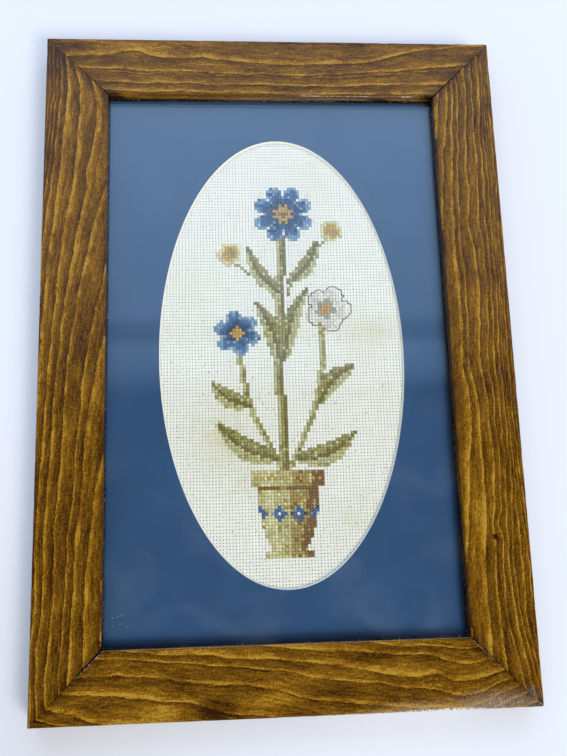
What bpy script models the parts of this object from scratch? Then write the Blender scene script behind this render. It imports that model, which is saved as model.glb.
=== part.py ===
"""A counted-thread embroidery picture in a mitred pine frame, lying on its back with its face up.

The frame is four mitred rails of rebated pine. In the rebate, from the front, are the glass, a mat with an
oval window, the evenweave cloth and the board that the cloth is stretched on, which also closes the back.

Metres, +Z out of the picture's face, +Y towards the picture's top. The origin is the middle of the back.
"""

import bmesh
import bpy
from math import cos, pi, radians, sin
from mathutils import Matrix, Vector

# Frame: a 19 mm board ripped to 38 mm, with a rebate cut behind a 6 mm lip
FRAME_WIDTH = 0.279
FRAME_HEIGHT = 0.405
RAIL_WIDTH = 0.038
RAIL_THICKNESS = 0.019
LIP_DEPTH = 0.006
REBATE_WIDTH = 0.0065

# How far the rails' long edges are sanded round
FRONT_OUTER_EASING = 0.0011
FRONT_SIGHT_EASING = 0.0007
BACK_OUTER_EASING = 0.0005
EASING_STEPS = 4

# How far each outer corner is worn round, and how wide its mitre has opened at the sight edge
CORNER_WEAR = {"top_left": 0.0008, "top_right": 0.0010, "bottom_left": 0.0008, "bottom_right": 0.0030}
MITRE_OPENING = {"top_left": 0.0005, "top_right": 0.0007, "bottom_left": 0.0011, "bottom_right": 0.0007}
MITRE_GAP = 0.0003
WEAR_FACETS = 3

# What lies in the rebate, from the front, each layer this far from the next
LAYER_GAP = 0.0003
EDGE_CLEARANCE = 0.0005
GLASS_THICKNESS = 0.0020
MAT_THICKNESS = 0.0015
CLOTH_THICKNESS = 0.0010
BOARD_THICKNESS = 0.0060

# The mat's window at its front face. Its edge is cut at 45 degrees, so it is narrower behind
WINDOW_WIDTH = 0.146
WINDOW_HEIGHT = 0.274
WINDOW_CENTRE = Vector((0.0019, 0.0009))
WINDOW_SEGMENTS = 128
CUTTER_OVERRUN = 0.001

# The cloth is cut a little smaller than the board behind it
CLOTH_INSET = 0.001

COLOURS = {
    "stained_pine": ((0.165, 0.070, 0.018, 1.0), 0.42),
    "picture_glass": ((0.92, 0.96, 0.95, 1.0), 0.04),
    "mat_paper": ((0.028, 0.072, 0.180, 1.0), 0.85),
    "evenweave_cloth": ((0.680, 0.640, 0.560, 1.0), 0.92),
    "fibre_board": ((0.270, 0.165, 0.085, 1.0), 0.88),
}

rebate_length = FRAME_HEIGHT - 2 * (RAIL_WIDTH - REBATE_WIDTH)
rebate_breadth = FRAME_WIDTH - 2 * (RAIL_WIDTH - REBATE_WIDTH)


def clear_scene():
    """Removes what the start-up file holds."""
    for found in list(bpy.data.objects):
        bpy.data.objects.remove(found)


def new_collection(name):
    """A collection linked to the scene."""
    collection = bpy.data.collections.new(name)
    bpy.context.scene.collection.children.link(collection)
    return collection


def material(name):
    """The plain material of one kind of stuff."""
    found = bpy.data.materials.get(name)
    if found:
        return found
    colour, roughness = COLOURS[name]
    made = bpy.data.materials.new(name)
    made.use_nodes = True
    shader = made.node_tree.nodes["Principled BSDF"]
    shader.inputs["Base Color"].default_value = colour
    shader.inputs["Roughness"].default_value = roughness
    shader.inputs["Metallic"].default_value = 0.0
    return made


def quarter_round(centre, radius, start_angle, steps):
    """Points of a quarter circle, clockwise from start_angle, in the section's plane."""
    points = []
    for step in range(steps + 1):
        angle = start_angle - (pi / 2) * step / steps
        points.append((centre[0] + radius * cos(angle), centre[1] + radius * sin(angle)))
    return points


def rail_section():
    """The moulding's section: x from the frame's outer edge to its sight edge, y from its back to its front."""
    lip_back = RAIL_THICKNESS - LIP_DEPTH
    points = [(BACK_OUTER_EASING, 0.0), (0.0, BACK_OUTER_EASING)]
    points += quarter_round(
        (FRONT_OUTER_EASING, RAIL_THICKNESS - FRONT_OUTER_EASING), FRONT_OUTER_EASING, pi, EASING_STEPS
    )
    points += quarter_round(
        (RAIL_WIDTH - FRONT_SIGHT_EASING, RAIL_THICKNESS - FRONT_SIGHT_EASING),
        FRONT_SIGHT_EASING,
        pi / 2,
        EASING_STEPS,
    )
    points += [(RAIL_WIDTH, lip_back), (RAIL_WIDTH - REBATE_WIDTH, lip_back), (RAIL_WIDTH - REBATE_WIDTH, 0.0)]
    return points


def extruded_outline(points, length):
    """A mesh of a flat outline extruded to a length along Z, with its caps welded on."""
    curve = bpy.data.curves.new("outline", "CURVE")
    curve.dimensions = "2D"
    curve.fill_mode = "BOTH"
    curve.extrude = length / 2
    spline = curve.splines.new("POLY")
    spline.points.add(len(points) - 1)
    for point, place in zip(spline.points, points):
        point.co = (place[0], place[1], 0.0, 1.0)
    spline.use_cyclic_u = True
    guide = bpy.data.objects.new("outline", curve)
    bpy.context.scene.collection.objects.link(guide)
    evaluated = guide.evaluated_get(bpy.context.evaluated_depsgraph_get())
    mesh = bpy.data.meshes.new_from_object(evaluated)
    bpy.data.objects.remove(guide)
    shape = bmesh.new()
    shape.from_mesh(mesh)
    bmesh.ops.remove_doubles(shape, verts=shape.verts, dist=1e-6)
    shape.to_mesh(mesh)
    shape.free()
    return mesh


def saw_cut(shape, point, normal):
    """Cuts away what lies beyond a plane and closes the cut face."""
    geometry = shape.verts[:] + shape.edges[:] + shape.faces[:]
    cut = bmesh.ops.bisect_plane(shape, geom=geometry, plane_co=point, plane_no=normal, clear_outer=True)
    edges = [found for found in cut["geom_cut"] if isinstance(found, bmesh.types.BMEdge)]
    if edges:
        bmesh.ops.edgeloop_fill(shape, edges=edges)


def cut_rail_end(shape, end, length, corner):
    """Mitres one end of a rail, end being +1 or -1 along X, and rounds the tip that makes the outer corner."""
    wear = CORNER_WEAR[corner]
    square_on = Vector((end, 1.0, 0.0)).normalized()
    tip = Vector((end * length / 2, 0.0, 0.0))
    sight_end = tip + Vector((-end * RAIL_WIDTH, RAIL_WIDTH, 0.0))
    from_point = tip - square_on * (MITRE_GAP / 2)
    to_point = sight_end - square_on * (MITRE_OPENING[corner] / 2)
    along = (to_point - from_point).normalized()
    saw_cut(shape, from_point, Vector((end * along.y, -end * along.x, 0.0)))
    centre = tip + Vector((-end * wear, wear, 0.0))
    for facet in range(WEAR_FACETS):
        angle = radians(45) * (facet + 0.5) / WEAR_FACETS
        outward = Vector((end * sin(angle), -cos(angle), 0.0))
        saw_cut(shape, centre + outward * wear, outward)


def make_rail(collection, name, length, corners, place, turn):
    """One mitred rail, with its outer edge on the frame's outline. Its own X runs along it, its Y inwards."""
    mesh = extruded_outline(rail_section(), length)
    mesh.name = name
    # The section's x becomes the rail's Y, its y becomes Z, and the extrusion runs along X
    mesh.transform(Matrix(((0, 0, 1, 0), (1, 0, 0, 0), (0, 1, 0, 0), (0, 0, 0, 1))))
    shape = bmesh.new()
    shape.from_mesh(mesh)
    cut_rail_end(shape, -1, length, corners[0])
    cut_rail_end(shape, 1, length, corners[1])
    bmesh.ops.recalc_face_normals(shape, faces=shape.faces)
    shape.to_mesh(mesh)
    shape.free()
    mesh.shade_smooth()
    mesh.set_sharp_from_angle(angle=radians(30))
    rail = bpy.data.objects.new(name, mesh)
    rail.location = place
    rail.rotation_euler = (0.0, 0.0, turn)
    mesh.materials.append(material("stained_pine"))
    collection.objects.link(rail)
    return rail


def make_rails(collection):
    """The four rails, each turned so that its sight edge faces the middle."""
    half_width = FRAME_WIDTH / 2
    half_height = FRAME_HEIGHT / 2
    bottom = ("bottom_left", "bottom_right")
    right = ("bottom_right", "top_right")
    top = ("top_right", "top_left")
    left = ("top_left", "bottom_left")
    make_rail(collection, "rail_bottom", FRAME_WIDTH, bottom, (0.0, -half_height, 0.0), 0.0)
    make_rail(collection, "rail_right", FRAME_HEIGHT, right, (half_width, 0.0, 0.0), pi / 2)
    make_rail(collection, "rail_top", FRAME_WIDTH, top, (0.0, half_height, 0.0), pi)
    make_rail(collection, "rail_left", FRAME_HEIGHT, left, (-half_width, 0.0, 0.0), -pi / 2)


def make_panel(collection, name, inset, top, thickness, stuff):
    """A flat rectangular layer in the rebate, with its front face at height top. Returns it and its back's height."""
    bpy.ops.mesh.primitive_cube_add(size=1.0)
    panel = bpy.context.active_object
    panel.name = name
    panel.data.name = name
    size = Vector((rebate_breadth - 2 * inset, rebate_length - 2 * inset, thickness))
    panel.data.transform(Matrix.Diagonal(size.to_4d()))
    panel.location = (0.0, 0.0, top - thickness / 2)
    panel.data.materials.append(material(stuff))
    for owner in panel.users_collection:
        owner.objects.unlink(panel)
    collection.objects.link(panel)
    return panel, top - thickness


def make_window_cutter(collection, front, back):
    """An oval cutter that widens at 45 degrees from the mat's back face to its front face."""
    shape = bmesh.new()
    bmesh.ops.create_cone(
        shape, cap_ends=True, segments=WINDOW_SEGMENTS, radius1=1.0, radius2=1.0, depth=2.0
    )
    half_sizes = Vector((WINDOW_WIDTH / 2, WINDOW_HEIGHT / 2))
    for vertex in shape.verts:
        height = front + CUTTER_OVERRUN if vertex.co.z > 0 else back - CUTTER_OVERRUN
        spread = height - front
        vertex.co.x *= half_sizes.x + spread
        vertex.co.y *= half_sizes.y + spread
        vertex.co.z = height
    mesh = bpy.data.meshes.new("window_cutter")
    shape.to_mesh(mesh)
    shape.free()
    cutter = bpy.data.objects.new("window_cutter", mesh)
    cutter.location = (WINDOW_CENTRE.x, WINDOW_CENTRE.y, 0.0)
    cutter.hide_render = True
    cutter.display_type = "WIRE"
    collection.objects.link(cutter)
    return cutter


def cut_window(mat, cutter):
    """Cuts the mat's oval window."""
    modifier = mat.modifiers.new("window", "BOOLEAN")
    modifier.operation = "DIFFERENCE"
    modifier.solver = "EXACT"
    modifier.object = cutter


def main():
    clear_scene()
    parts = new_collection("framed_embroidery_picture")
    cutters = new_collection("cutters")
    make_rails(parts)
    glass_front = RAIL_THICKNESS - LIP_DEPTH - LAYER_GAP
    _, glass_back = make_panel(
        parts, "glass_pane", EDGE_CLEARANCE, glass_front, GLASS_THICKNESS, "picture_glass"
    )
    mat_front = glass_back - LAYER_GAP
    mat, mat_back = make_panel(parts, "mat_board", EDGE_CLEARANCE, mat_front, MAT_THICKNESS, "mat_paper")
    cut_window(mat, make_window_cutter(cutters, mat_front, mat_back))
    _, cloth_back = make_panel(
        parts, "evenweave_cloth", EDGE_CLEARANCE + CLOTH_INSET, mat_back - LAYER_GAP, CLOTH_THICKNESS,
        "evenweave_cloth",
    )
    make_panel(
        parts, "backing_board", EDGE_CLEARANCE, cloth_back - LAYER_GAP, BOARD_THICKNESS, "fibre_board"
    )


main()
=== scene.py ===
"""Dresses a framed cross-stitch picture: its pine rails, glass, mat, woven cloth, stitches and backing board.

The file is laid out as an add-on and is run as a script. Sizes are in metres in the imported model's frame: +Z
out of the picture's face, +Y towards its top, and the middle of the frame's back at the origin.
"""

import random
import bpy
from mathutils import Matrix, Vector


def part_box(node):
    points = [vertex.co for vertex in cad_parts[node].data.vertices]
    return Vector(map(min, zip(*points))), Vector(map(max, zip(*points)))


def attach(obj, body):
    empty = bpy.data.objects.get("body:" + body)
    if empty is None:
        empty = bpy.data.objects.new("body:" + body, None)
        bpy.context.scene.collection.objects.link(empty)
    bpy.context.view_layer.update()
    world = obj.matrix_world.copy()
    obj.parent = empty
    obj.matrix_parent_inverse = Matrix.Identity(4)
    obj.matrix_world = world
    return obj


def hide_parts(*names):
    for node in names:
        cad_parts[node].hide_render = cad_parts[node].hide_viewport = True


bl_info = {
    "name": "Framed cross-stitch picture",
    "version": (1, 0, 0),
    "blender": (4, 5, 0),
    "location": "3D View > Sidebar > Picture",
    "description": "Builds the looks of a cross-stitch picture in a stained pine frame",
    "category": "Object",
}

from collections import namedtuple
from functools import partial
from math import atan2, cos, exp, floor, hypot, pi, radians, sin, sqrt

import bmesh
import bpy
import numpy as np
from bpy.props import FloatProperty, FloatVectorProperty, IntProperty, PointerProperty
from mathutils import Vector, noise

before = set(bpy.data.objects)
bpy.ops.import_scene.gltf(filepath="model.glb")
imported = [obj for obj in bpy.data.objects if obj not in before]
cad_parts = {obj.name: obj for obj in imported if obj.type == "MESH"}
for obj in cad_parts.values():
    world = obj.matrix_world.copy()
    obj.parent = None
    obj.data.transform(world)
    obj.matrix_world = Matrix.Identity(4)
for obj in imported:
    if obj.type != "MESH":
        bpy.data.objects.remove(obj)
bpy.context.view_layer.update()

MM = 0.001
BODY = "root"


# Sizes that the frame gives

def lowest(node):
    return Vector(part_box(node)[0])


def highest(node):
    return Vector(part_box(node)[1])


RAIL_WIDTH = highest("rail_left").x - lowest("rail_left").x
RAIL_THICKNESS = highest("rail_left").z - lowest("rail_left").z
FRAME_WIDTH = highest("rail_right").x - lowest("rail_left").x
FRAME_HEIGHT = highest("rail_top").y - lowest("rail_bottom").y
LAYER_GAP = 0.3 * MM
LIP_BACK = highest("glass_pane").z + LAYER_GAP
PANE_CLEARANCE = 0.5 * MM
REBATE_EDGE = FRAME_WIDTH / 2 - highest("glass_pane").x - PANE_CLEARANCE
SIGHT_X = FRAME_WIDTH / 2 - RAIL_WIDTH
SIGHT_Y = FRAME_HEIGHT / 2 - RAIL_WIDTH


# Values that a user would change

def linear(hex_colour):
    """An sRGB hex value as a linear RGBA colour."""
    channels = [int(hex_colour[place : place + 2], 16) / 255 for place in (1, 3, 5)]
    toned = [value / 12.92 if value <= 0.04045 else ((value + 0.055) / 1.055) ** 2.4 for value in channels]
    return (*toned, 1.0)


def tint(name, description, hex_colour):
    """A colour property."""
    return FloatVectorProperty(
        name=name, description=description, default=linear(hex_colour), size=4, min=0, max=1, subtype="COLOR"
    )


def size(name, description, default):
    """A length property, in metres."""
    return FloatProperty(
        name=name, description=description, default=default, min=0, precision=5, unit="LENGTH",
        subtype="DISTANCE",
    )


class RailSettings(bpy.types.PropertyGroup):
    """Sizes and colours of the pine rails."""

    outer_easing: size("Outer easing", "How far the front outer edge is sanded round", 1.1 * MM)
    sight_easing: size("Sight easing", "How far the front sight edge is sanded round", 0.7 * MM)
    back_easing: size("Back easing", "How far the back outer edge is sanded off", 0.5 * MM)
    mesh_step: size("Mesh step", "Distance between the mesh's rings along a rail", 1.3 * MM)
    face_step: size("Face step", "Distance between the mesh's points across a rail's face", 0.7 * MM)
    raised_grain: size("Raised grain", "How far the hard rings stand above the soft ones", 0.07 * MM)
    deep_stain: tint("Deep stain", "Where the stain pools in the softest wood", "#2E1903")
    soft_ring: tint("Soft ring", "Early wood, which takes most stain", "#492C03")
    mid_ring: tint("Middle ring", "Wood between the soft and the hard ring", "#634306")
    late_ring: tint("Late ring", "Late wood under a thin coat of stain", "#82590A")
    hard_ring: tint("Hard ring", "Late wood, which takes little stain", "#A27E27")
    red_patch: tint("Red patch", "Where the stain lies thick", "#62320C")
    haze: tint("Haze", "Varnish rubbed dull and grey", "#897E74")
    rubbed: tint("Rubbed", "Edges rubbed down to the wood", "#D2CBC2")
    bare_wood: tint("Bare wood", "Early wood of unstained pine", "#CDB388")
    bare_ring: tint("Bare ring", "Late wood of unstained pine", "#A77B45")


class MatSettings(bpy.types.PropertyGroup):
    """Sizes and colours of the mat."""

    window_width: size("Window width", "Width of the oval at the mat's face", 146 * MM)
    window_height: size("Window height", "Height of the oval at the mat's face", 274 * MM)
    window_x: FloatProperty(name="Window X", description="Oval's middle", default=1.9 * MM, unit="LENGTH")
    window_y: FloatProperty(name="Window Y", description="Oval's middle", default=0.9 * MM, unit="LENGTH")
    segments: IntProperty(name="Segments", description="Points round the oval", default=360, min=32)
    bevel: size("Bevel", "How far the knife slants in through the board", 0.8 * MM)
    face: tint("Face", "Navy paper", "#304D70")
    core: tint("Core", "Bevelled edge of the board", "#E8E6DD")
    back: tint("Back", "Lining paper", "#D9D3C2")


class ClothSettings(bpy.types.PropertyGroup):
    """Sizes and colours of the evenweave cloth."""

    pitch: size("Block pitch", "Distance between holes, 5.4 to the centimetre", 10 * MM / 5.4)
    hole: size("Hole", "Width of the holes between blocks", 0.60 * MM)
    yarn: tint("Yarn", "Unbleached cotton", "#E6E5DC")
    gap: tint("Gap", "What shows in the holes", "#4E493F")
    fleck: tint("Fleck", "Seed flecks in the cotton", "#8A7050")
    stain: tint("Stain", "Age stains", "#BFB67C")


FLOSSES = {
    "navy": "#26426E", "blue": "#3D6A9C", "sky": "#7DA3C6", "mist": "#B4C4D2", "straw": "#E8E1AC",
    "gold": "#D3A645", "moss": "#847636", "olive": "#A8A05C", "reed": "#CFCB94", "bark": "#8A652F",
    "clay": "#B59C56", "sand": "#D3CA8C", "cream": "#EFEADD", "pewter": "#AAA9A2", "outline": "#6A4A2A",
}


class StitchSettings(bpy.types.PropertyGroup):
    """Sizes and colours of the stitches."""

    middle_x: FloatProperty(name="Design X", description="Design's middle", default=3.0 * MM, unit="LENGTH")
    foot_y: FloatProperty(
        name="Design foot", description="Design's first row", default=-117.5 * MM, unit="LENGTH"
    )
    strand: size("Strand", "Width of one strand of floss", 0.52 * MM)


for floss_name, floss_colour in FLOSSES.items():
    StitchSettings.__annotations__[floss_name] = tint(floss_name.title(), "Floss", floss_colour)


class StageSettings(bpy.types.PropertyGroup):
    """The camera and the lights."""

    lens: FloatProperty(name="Lens", description="Focal length in millimetres", default=41.6, min=1)
    camera_place: FloatVectorProperty(
        name="Camera", description="Where it stands", default=(-0.0362, -0.1220, 0.5144),
        subtype="TRANSLATION",
    )
    camera_turn: FloatVectorProperty(
        name="Turn", description="Its rotation", default=tuple(map(radians, (12.17, -3.97, -1.71))),
        subtype="EULER",
    )
    floor: tint("Floor", "White table", "#BFC2C8")
    floor_glow: tint("Floor glow", "What the white table gives back of its own", "#7C8492")
    sky: tint("Sky", "Light from all sides", "#E4ECF7")
    sky_strength: FloatProperty(name="Sky strength", description="Of the light from all sides", default=0.76)
    daylight: tint("Daylight", "Light from the window", "#CFE0FF")
    window_power: FloatProperty(name="Window power", description="In watts", default=22.0)
    lamp: tint("Lamp", "Light from the lower right", "#FFF3E2")
    lamp_power: FloatProperty(name="Lamp power", description="In watts", default=200.0)


# Materials. A map range's five inputs are its value, what it goes from and to, and what that becomes

def add_node(tree, kind, inputs=(), stops=(), **settings):
    """Adds a node with its settings. Its inputs, by number or name, take values, nodes or sockets."""
    made = tree.nodes.new("ShaderNode" + kind)
    for name, value in settings.items():
        setattr(made, name, value)
    for extra in stops[2:]:
        made.color_ramp.elements.new(0.5)
    for element, (place, colour) in zip(made.color_ramp.elements if stops else (), stops):
        element.position = place
        element.color = colour
    for name, value in inputs.items() if isinstance(inputs, dict) else enumerate(inputs):
        if isinstance(value, bpy.types.Node):
            value = value.outputs[0]
        if isinstance(value, bpy.types.NodeSocket):
            tree.links.new(value, made.inputs[name])
        else:
            made.inputs[name].default_value = value
    return made


def new_material(name):
    """An empty material, and the function that adds a node to it."""
    made = bpy.data.materials.new(name)
    made.use_nodes = True
    made.node_tree.nodes.clear()
    return made, partial(add_node, made.node_tree)


# Values that a rail's mesh keeps at each point: the number of rings before it, the ring's width, the board's
# number, its wear with dirt and painted shade below 0, its distance from the mitre, whether flakes are off,
# how thin the stain is, and how far off the knot is
RAIL_VALUES = ("ring", "width", "board", "bare", "mitre", "flaked", "thin", "knot")
# Patterns in the wood: length along the grain and width across it in millimetres, detail and roughness
WOOD_PATTERNS = {
    "teeth": (5 / 3, 20 / 7, 3.0, 0.5),
    "stretch": (9.0, 4.0, 2.0, 0.5),
    "patch": (26.0, 7.0, 3.0, 0.5),
    "fibre": (5.0, 0.5, 3.0, 0.5),
    "fleck": (0.8, 1.2, 2.0, 0.7),
}
STREAK_LENGTH = 16.0
STREAKS_PER_RING = 6.5
MIDDLE_TONE = 0.45


def stained_pine(settings):
    """Pine, planed, stained walnut brown and wiped with satin varnish.

    The soft early wood of each ring drinks the stain and goes dark at once past the last ring's edge. It then
    slowly lightens to the hard late wood, which stays golden. The rings come from the mesh, so that they run
    through the board. Where the finish is rubbed thin the wood goes pale and grey.
    """
    made, add = new_material("stained_pine_varnished")
    ring, width, board, bare, mitre, flaked, thin, from_knot = (
        add("Attribute", attribute_name=name).outputs["Fac"] for name in RAIL_VALUES
    )
    # Millimetres along the board, across it and through it
    place = add("TexCoord").outputs["Object"]
    mm = add("VectorMath", {0: place, "Scale": 1 / MM}, operation="SCALE")

    def pattern(name, seed):
        """A noise that is drawn out along the grain."""
        long, wide, detail, roughness = WOOD_PATTERNS[name]
        scaled = add("VectorMath", (mm, (1 / long, 1 / wide, 1 / wide)), operation="MULTIPLY")
        inputs = {"Vector": scaled, "W": seed, "Scale": 1.0, "Detail": detail, "Roughness": roughness}
        return add("TexNoise", inputs, noise_dimensions="4D")

    # The rings' edges are torn, and each ring has a number of its own, which its mood comes from
    torn = add("MapRange", (width, 2.0, 12.0, 0.34, 0.13))
    toothed = add("Math", (pattern("teeth", board), torn, ring), operation="MULTIPLY_ADD")
    share = add("Math", (toothed,), operation="FRACT")
    rest = add("Math", (1.0, share), operation="SUBTRACT")
    number = add("Math", (toothed,), operation="FLOOR")
    numbered = add("Math", (board, 37.0, number), operation="MULTIPLY_ADD")
    mood = add("TexWhiteNoise", {"W": numbered}, noise_dimensions="1D")
    # Millimetres past the last ring's edge, and still to go to the next
    past = add("Math", (share, width), operation="MULTIPLY")
    ahead = add("Math", (rest, width), operation="MULTIPLY")
    reach = add("MapRange", (width, 1.5, 12.0, 0.9, 4.6))
    spread = add("MapRange", (mood, 0.0, 1.0, 0.6, 1.4))
    late_reach = add("Math", (reach, spread), operation="MULTIPLY")
    late = add("MapRange", (ahead, 0.0, late_reach, 1.0, 0.0), interpolation_type="SMOOTHSTEP")
    early = add("MapRange", (past, 0.1, 3.4, 1.0, 0.0), interpolation_type="SMOOTHSTEP")
    # Rings fade and come back along the board
    stretch = pattern("stretch", numbered)
    late_strength = add("MapRange", (stretch, 0.3, 0.7, 0.16, 0.60))
    early_strength = add("MapRange", (stretch, 0.3, 0.7, -0.30, -0.06))
    # Thick and thin stain, fibres, and flecks where the plane lifted the grain and the stain caught
    patch, fibre, fleck = (pattern(name, board) for name in ("patch", "fibre", "fleck"))
    # Streaks that follow the rings
    along = add("SeparateXYZ", (mm,)).outputs["X"]
    flow_along = add("Math", (along, 1 / STREAK_LENGTH), operation="MULTIPLY")
    flow_across = add("Math", (ring, STREAKS_PER_RING), operation="MULTIPLY")
    flow = add("CombineXYZ", (flow_along, flow_across, board))
    streak = add("TexNoise", {"Vector": flow, "Scale": 1.0, "Detail": 4.0, "Roughness": 0.6})

    # How golden the wood is: 0 where it is darkest and 1 at a ring's edge. The patterns are even about 0.5
    strengths = ((patch, 0.9), (streak, 0.9), (fibre, 1.0), (fleck, 1.2))
    base = MIDDLE_TONE - sum(strength for source, strength in strengths) / 2
    # The stain soaks into the end grain along the mitres, a knot is dark, and wear below 0 is dirt and painted
    # shade
    end_tone = add("MapRange", (mitre, 0.0, 6.0, -0.22, 0.0))
    knot = add("MapRange", (from_knot, 0.9, 2.0, 1.0, 0.0))
    dirt_and_shade = add("Math", (bare, 0.0), operation="MINIMUM")
    strengths += ((early, early_strength), (end_tone, 1.0), (knot, -0.9), (thin, 1.0), (dirt_and_shade, 0.45))
    tone = add("Math", (late, late_strength, base), operation="MULTIPLY_ADD")
    for source, strength in strengths:
        tone = add("Math", (source, strength, tone), operation="MULTIPLY_ADD")
    stops = (
        (0.0, settings.deep_stain),
        (0.2, settings.soft_ring),
        (0.48, settings.mid_ring),
        (0.72, settings.late_ring),
        (1.0, settings.hard_ring),
    )
    stained = add("ValToRGB", (tone,), stops)
    reddish = add("MapRange", (patch, 0.56, 0.74, 0.0, 0.5))
    reddish = add("Math", (reddish, early), operation="MULTIPLY")

    # Rubbed wood goes hazy first, and then pale in flakes
    flakes = add("MapRange", (fleck, 0.42, 0.60, 0.5, 1.3))
    flakes = add("Math", (flakes, bare), operation="MULTIPLY")
    through = add("MapRange", (flakes, 0.62, 1.0, 0.0, 1.0))
    through = add("Math", (through, flaked), operation="MAXIMUM")
    rubbed = add("Mix", {0: through, 6: settings.haze, 7: settings.rubbed}, data_type="RGBA").outputs[2]
    broken = add("MapRange", (fleck, 0.38, 0.62, 0.75, 1.1))
    broken = add("Math", (broken, bare), operation="MULTIPLY")
    worn = add("MapRange", (broken, 0.1, 1.0, 0.0, 1.0), interpolation_type="SMOOTHSTEP")
    # A white line where the finish has broken off along an open mitre
    split = add("MapRange", (mitre, 0.05, 0.35, 0.8, 0.0))
    crumbled = add("MapRange", (fleck, 0.49, 0.58, 0.0, 1.0))
    for share_left in (flaked, crumbled):
        split = add("Math", (split, share_left), operation="MULTIPLY")
    worn = add("Math", (worn, split), operation="MAXIMUM")
    # Wood that was never stained, but for the end grain in the mitres
    raw = add("Mix", {0: late, 6: settings.bare_wood, 7: settings.bare_ring}, data_type="RGBA").outputs[2]
    unstained = add("MapRange", (bare, 1.2, 1.8, 0.0, 1.0))
    off_the_joint = add("MapRange", (mitre, 0.1, 0.5, 0.0, 1.0))
    unstained = add("Math", (unstained, off_the_joint), operation="MULTIPLY")
    colour = stained
    for cover, over in ((reddish, settings.red_patch), (worn, rubbed), (unstained, raw)):
        colour = add("Mix", {0: cover, 6: colour, 7: over}, data_type="RGBA").outputs[2]

    rough = add("MapRange", (fibre, 0.3, 0.7, 0.19, 0.28))
    rough = add("Mix", {0: worn, 2: rough, 3: 0.65}, data_type="FLOAT")
    relief = add("Math", (late, 0.7, fibre), operation="MULTIPLY_ADD")
    relief = add("Math", (fleck, 0.5, relief), operation="MULTIPLY_ADD")
    bump = add("Bump", {"Strength": 0.35, "Distance": 0.10 * MM, "Height": relief})
    satin = {"Base Color": colour, "Roughness": rough, "Normal": bump}
    satin.update({"IOR": 1.48, "Specular IOR Level": 0.22})
    add("OutputMaterial", (add("BsdfPrincipled", satin),))
    return made


GLASS_IOR = 1.52


def float_glass():
    """Picture glass: clear soda-lime float glass, fire-polished, which mirrors more at a low angle."""
    made, add = new_material("clear_float_glass")
    # What the glass mirrors head on, and Schlick's rise towards a low angle
    head_on = ((GLASS_IOR - 1) / (GLASS_IOR + 1)) ** 2
    facing = add("LayerWeight", {"Blend": 0.5}).outputs["Facing"]
    grazing = add("Math", (facing, 5.0), operation="POWER")
    mirrored = add("Math", (grazing, 1 - head_on, head_on), operation="MULTIPLY_ADD")
    clear = add("BsdfTransparent", {"Color": (0.985, 0.995, 0.99, 1.0)})
    mirror = add("BsdfGlossy", {"Color": (1.0, 1.0, 1.0, 1.0), "Roughness": 0.02})
    pane = add("MixShader", (mirrored, clear, mirror))
    # A faint film where the glass was wiped and dried in smears some 35 mm long, thicker towards the bottom
    place = add("TexCoord").outputs["Object"]
    smear = add("VectorMath", (place, (24.0, 34.0, 1.0)), operation="MULTIPLY")
    smear = add("TexNoise", {"Vector": smear, "Scale": 1.0, "Detail": 4.0, "Distortion": 0.6})
    smear = add("MapRange", (smear, 0.48, 0.72, 0.0, 0.022))
    low_down = add("SeparateXYZ", (place,)).outputs["Y"]
    low_down = add("MapRange", (low_down, -SIGHT_Y, 0.0, 1.0, 0.25))
    film = add("Math", (smear, low_down), operation="MULTIPLY")
    dust = add("BsdfDiffuse", {"Color": (0.70, 0.76, 0.84, 1.0)})
    add("OutputMaterial", (add("MixShader", (film, pane, dust)),))
    return made


# Painted shade on the mat along the lips, where their shadow falls: which side of the mat it is on, where the
# lip is and how far the shade reaches from it
LIP_SHADE = (
    ("Y", 1, SIGHT_Y, 0.8 * MM),
    ("Y", -1, SIGHT_Y, 6.0 * MM),
    ("X", 1, SIGHT_X, 4.5 * MM),
    ("X", -1, SIGHT_X, 1.5 * MM),
)
PAPER_FIBRE = 0.4 * MM
PAPER_CLOUD = 25 * MM
PAPER_SKIN = 0.15 * MM


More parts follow.
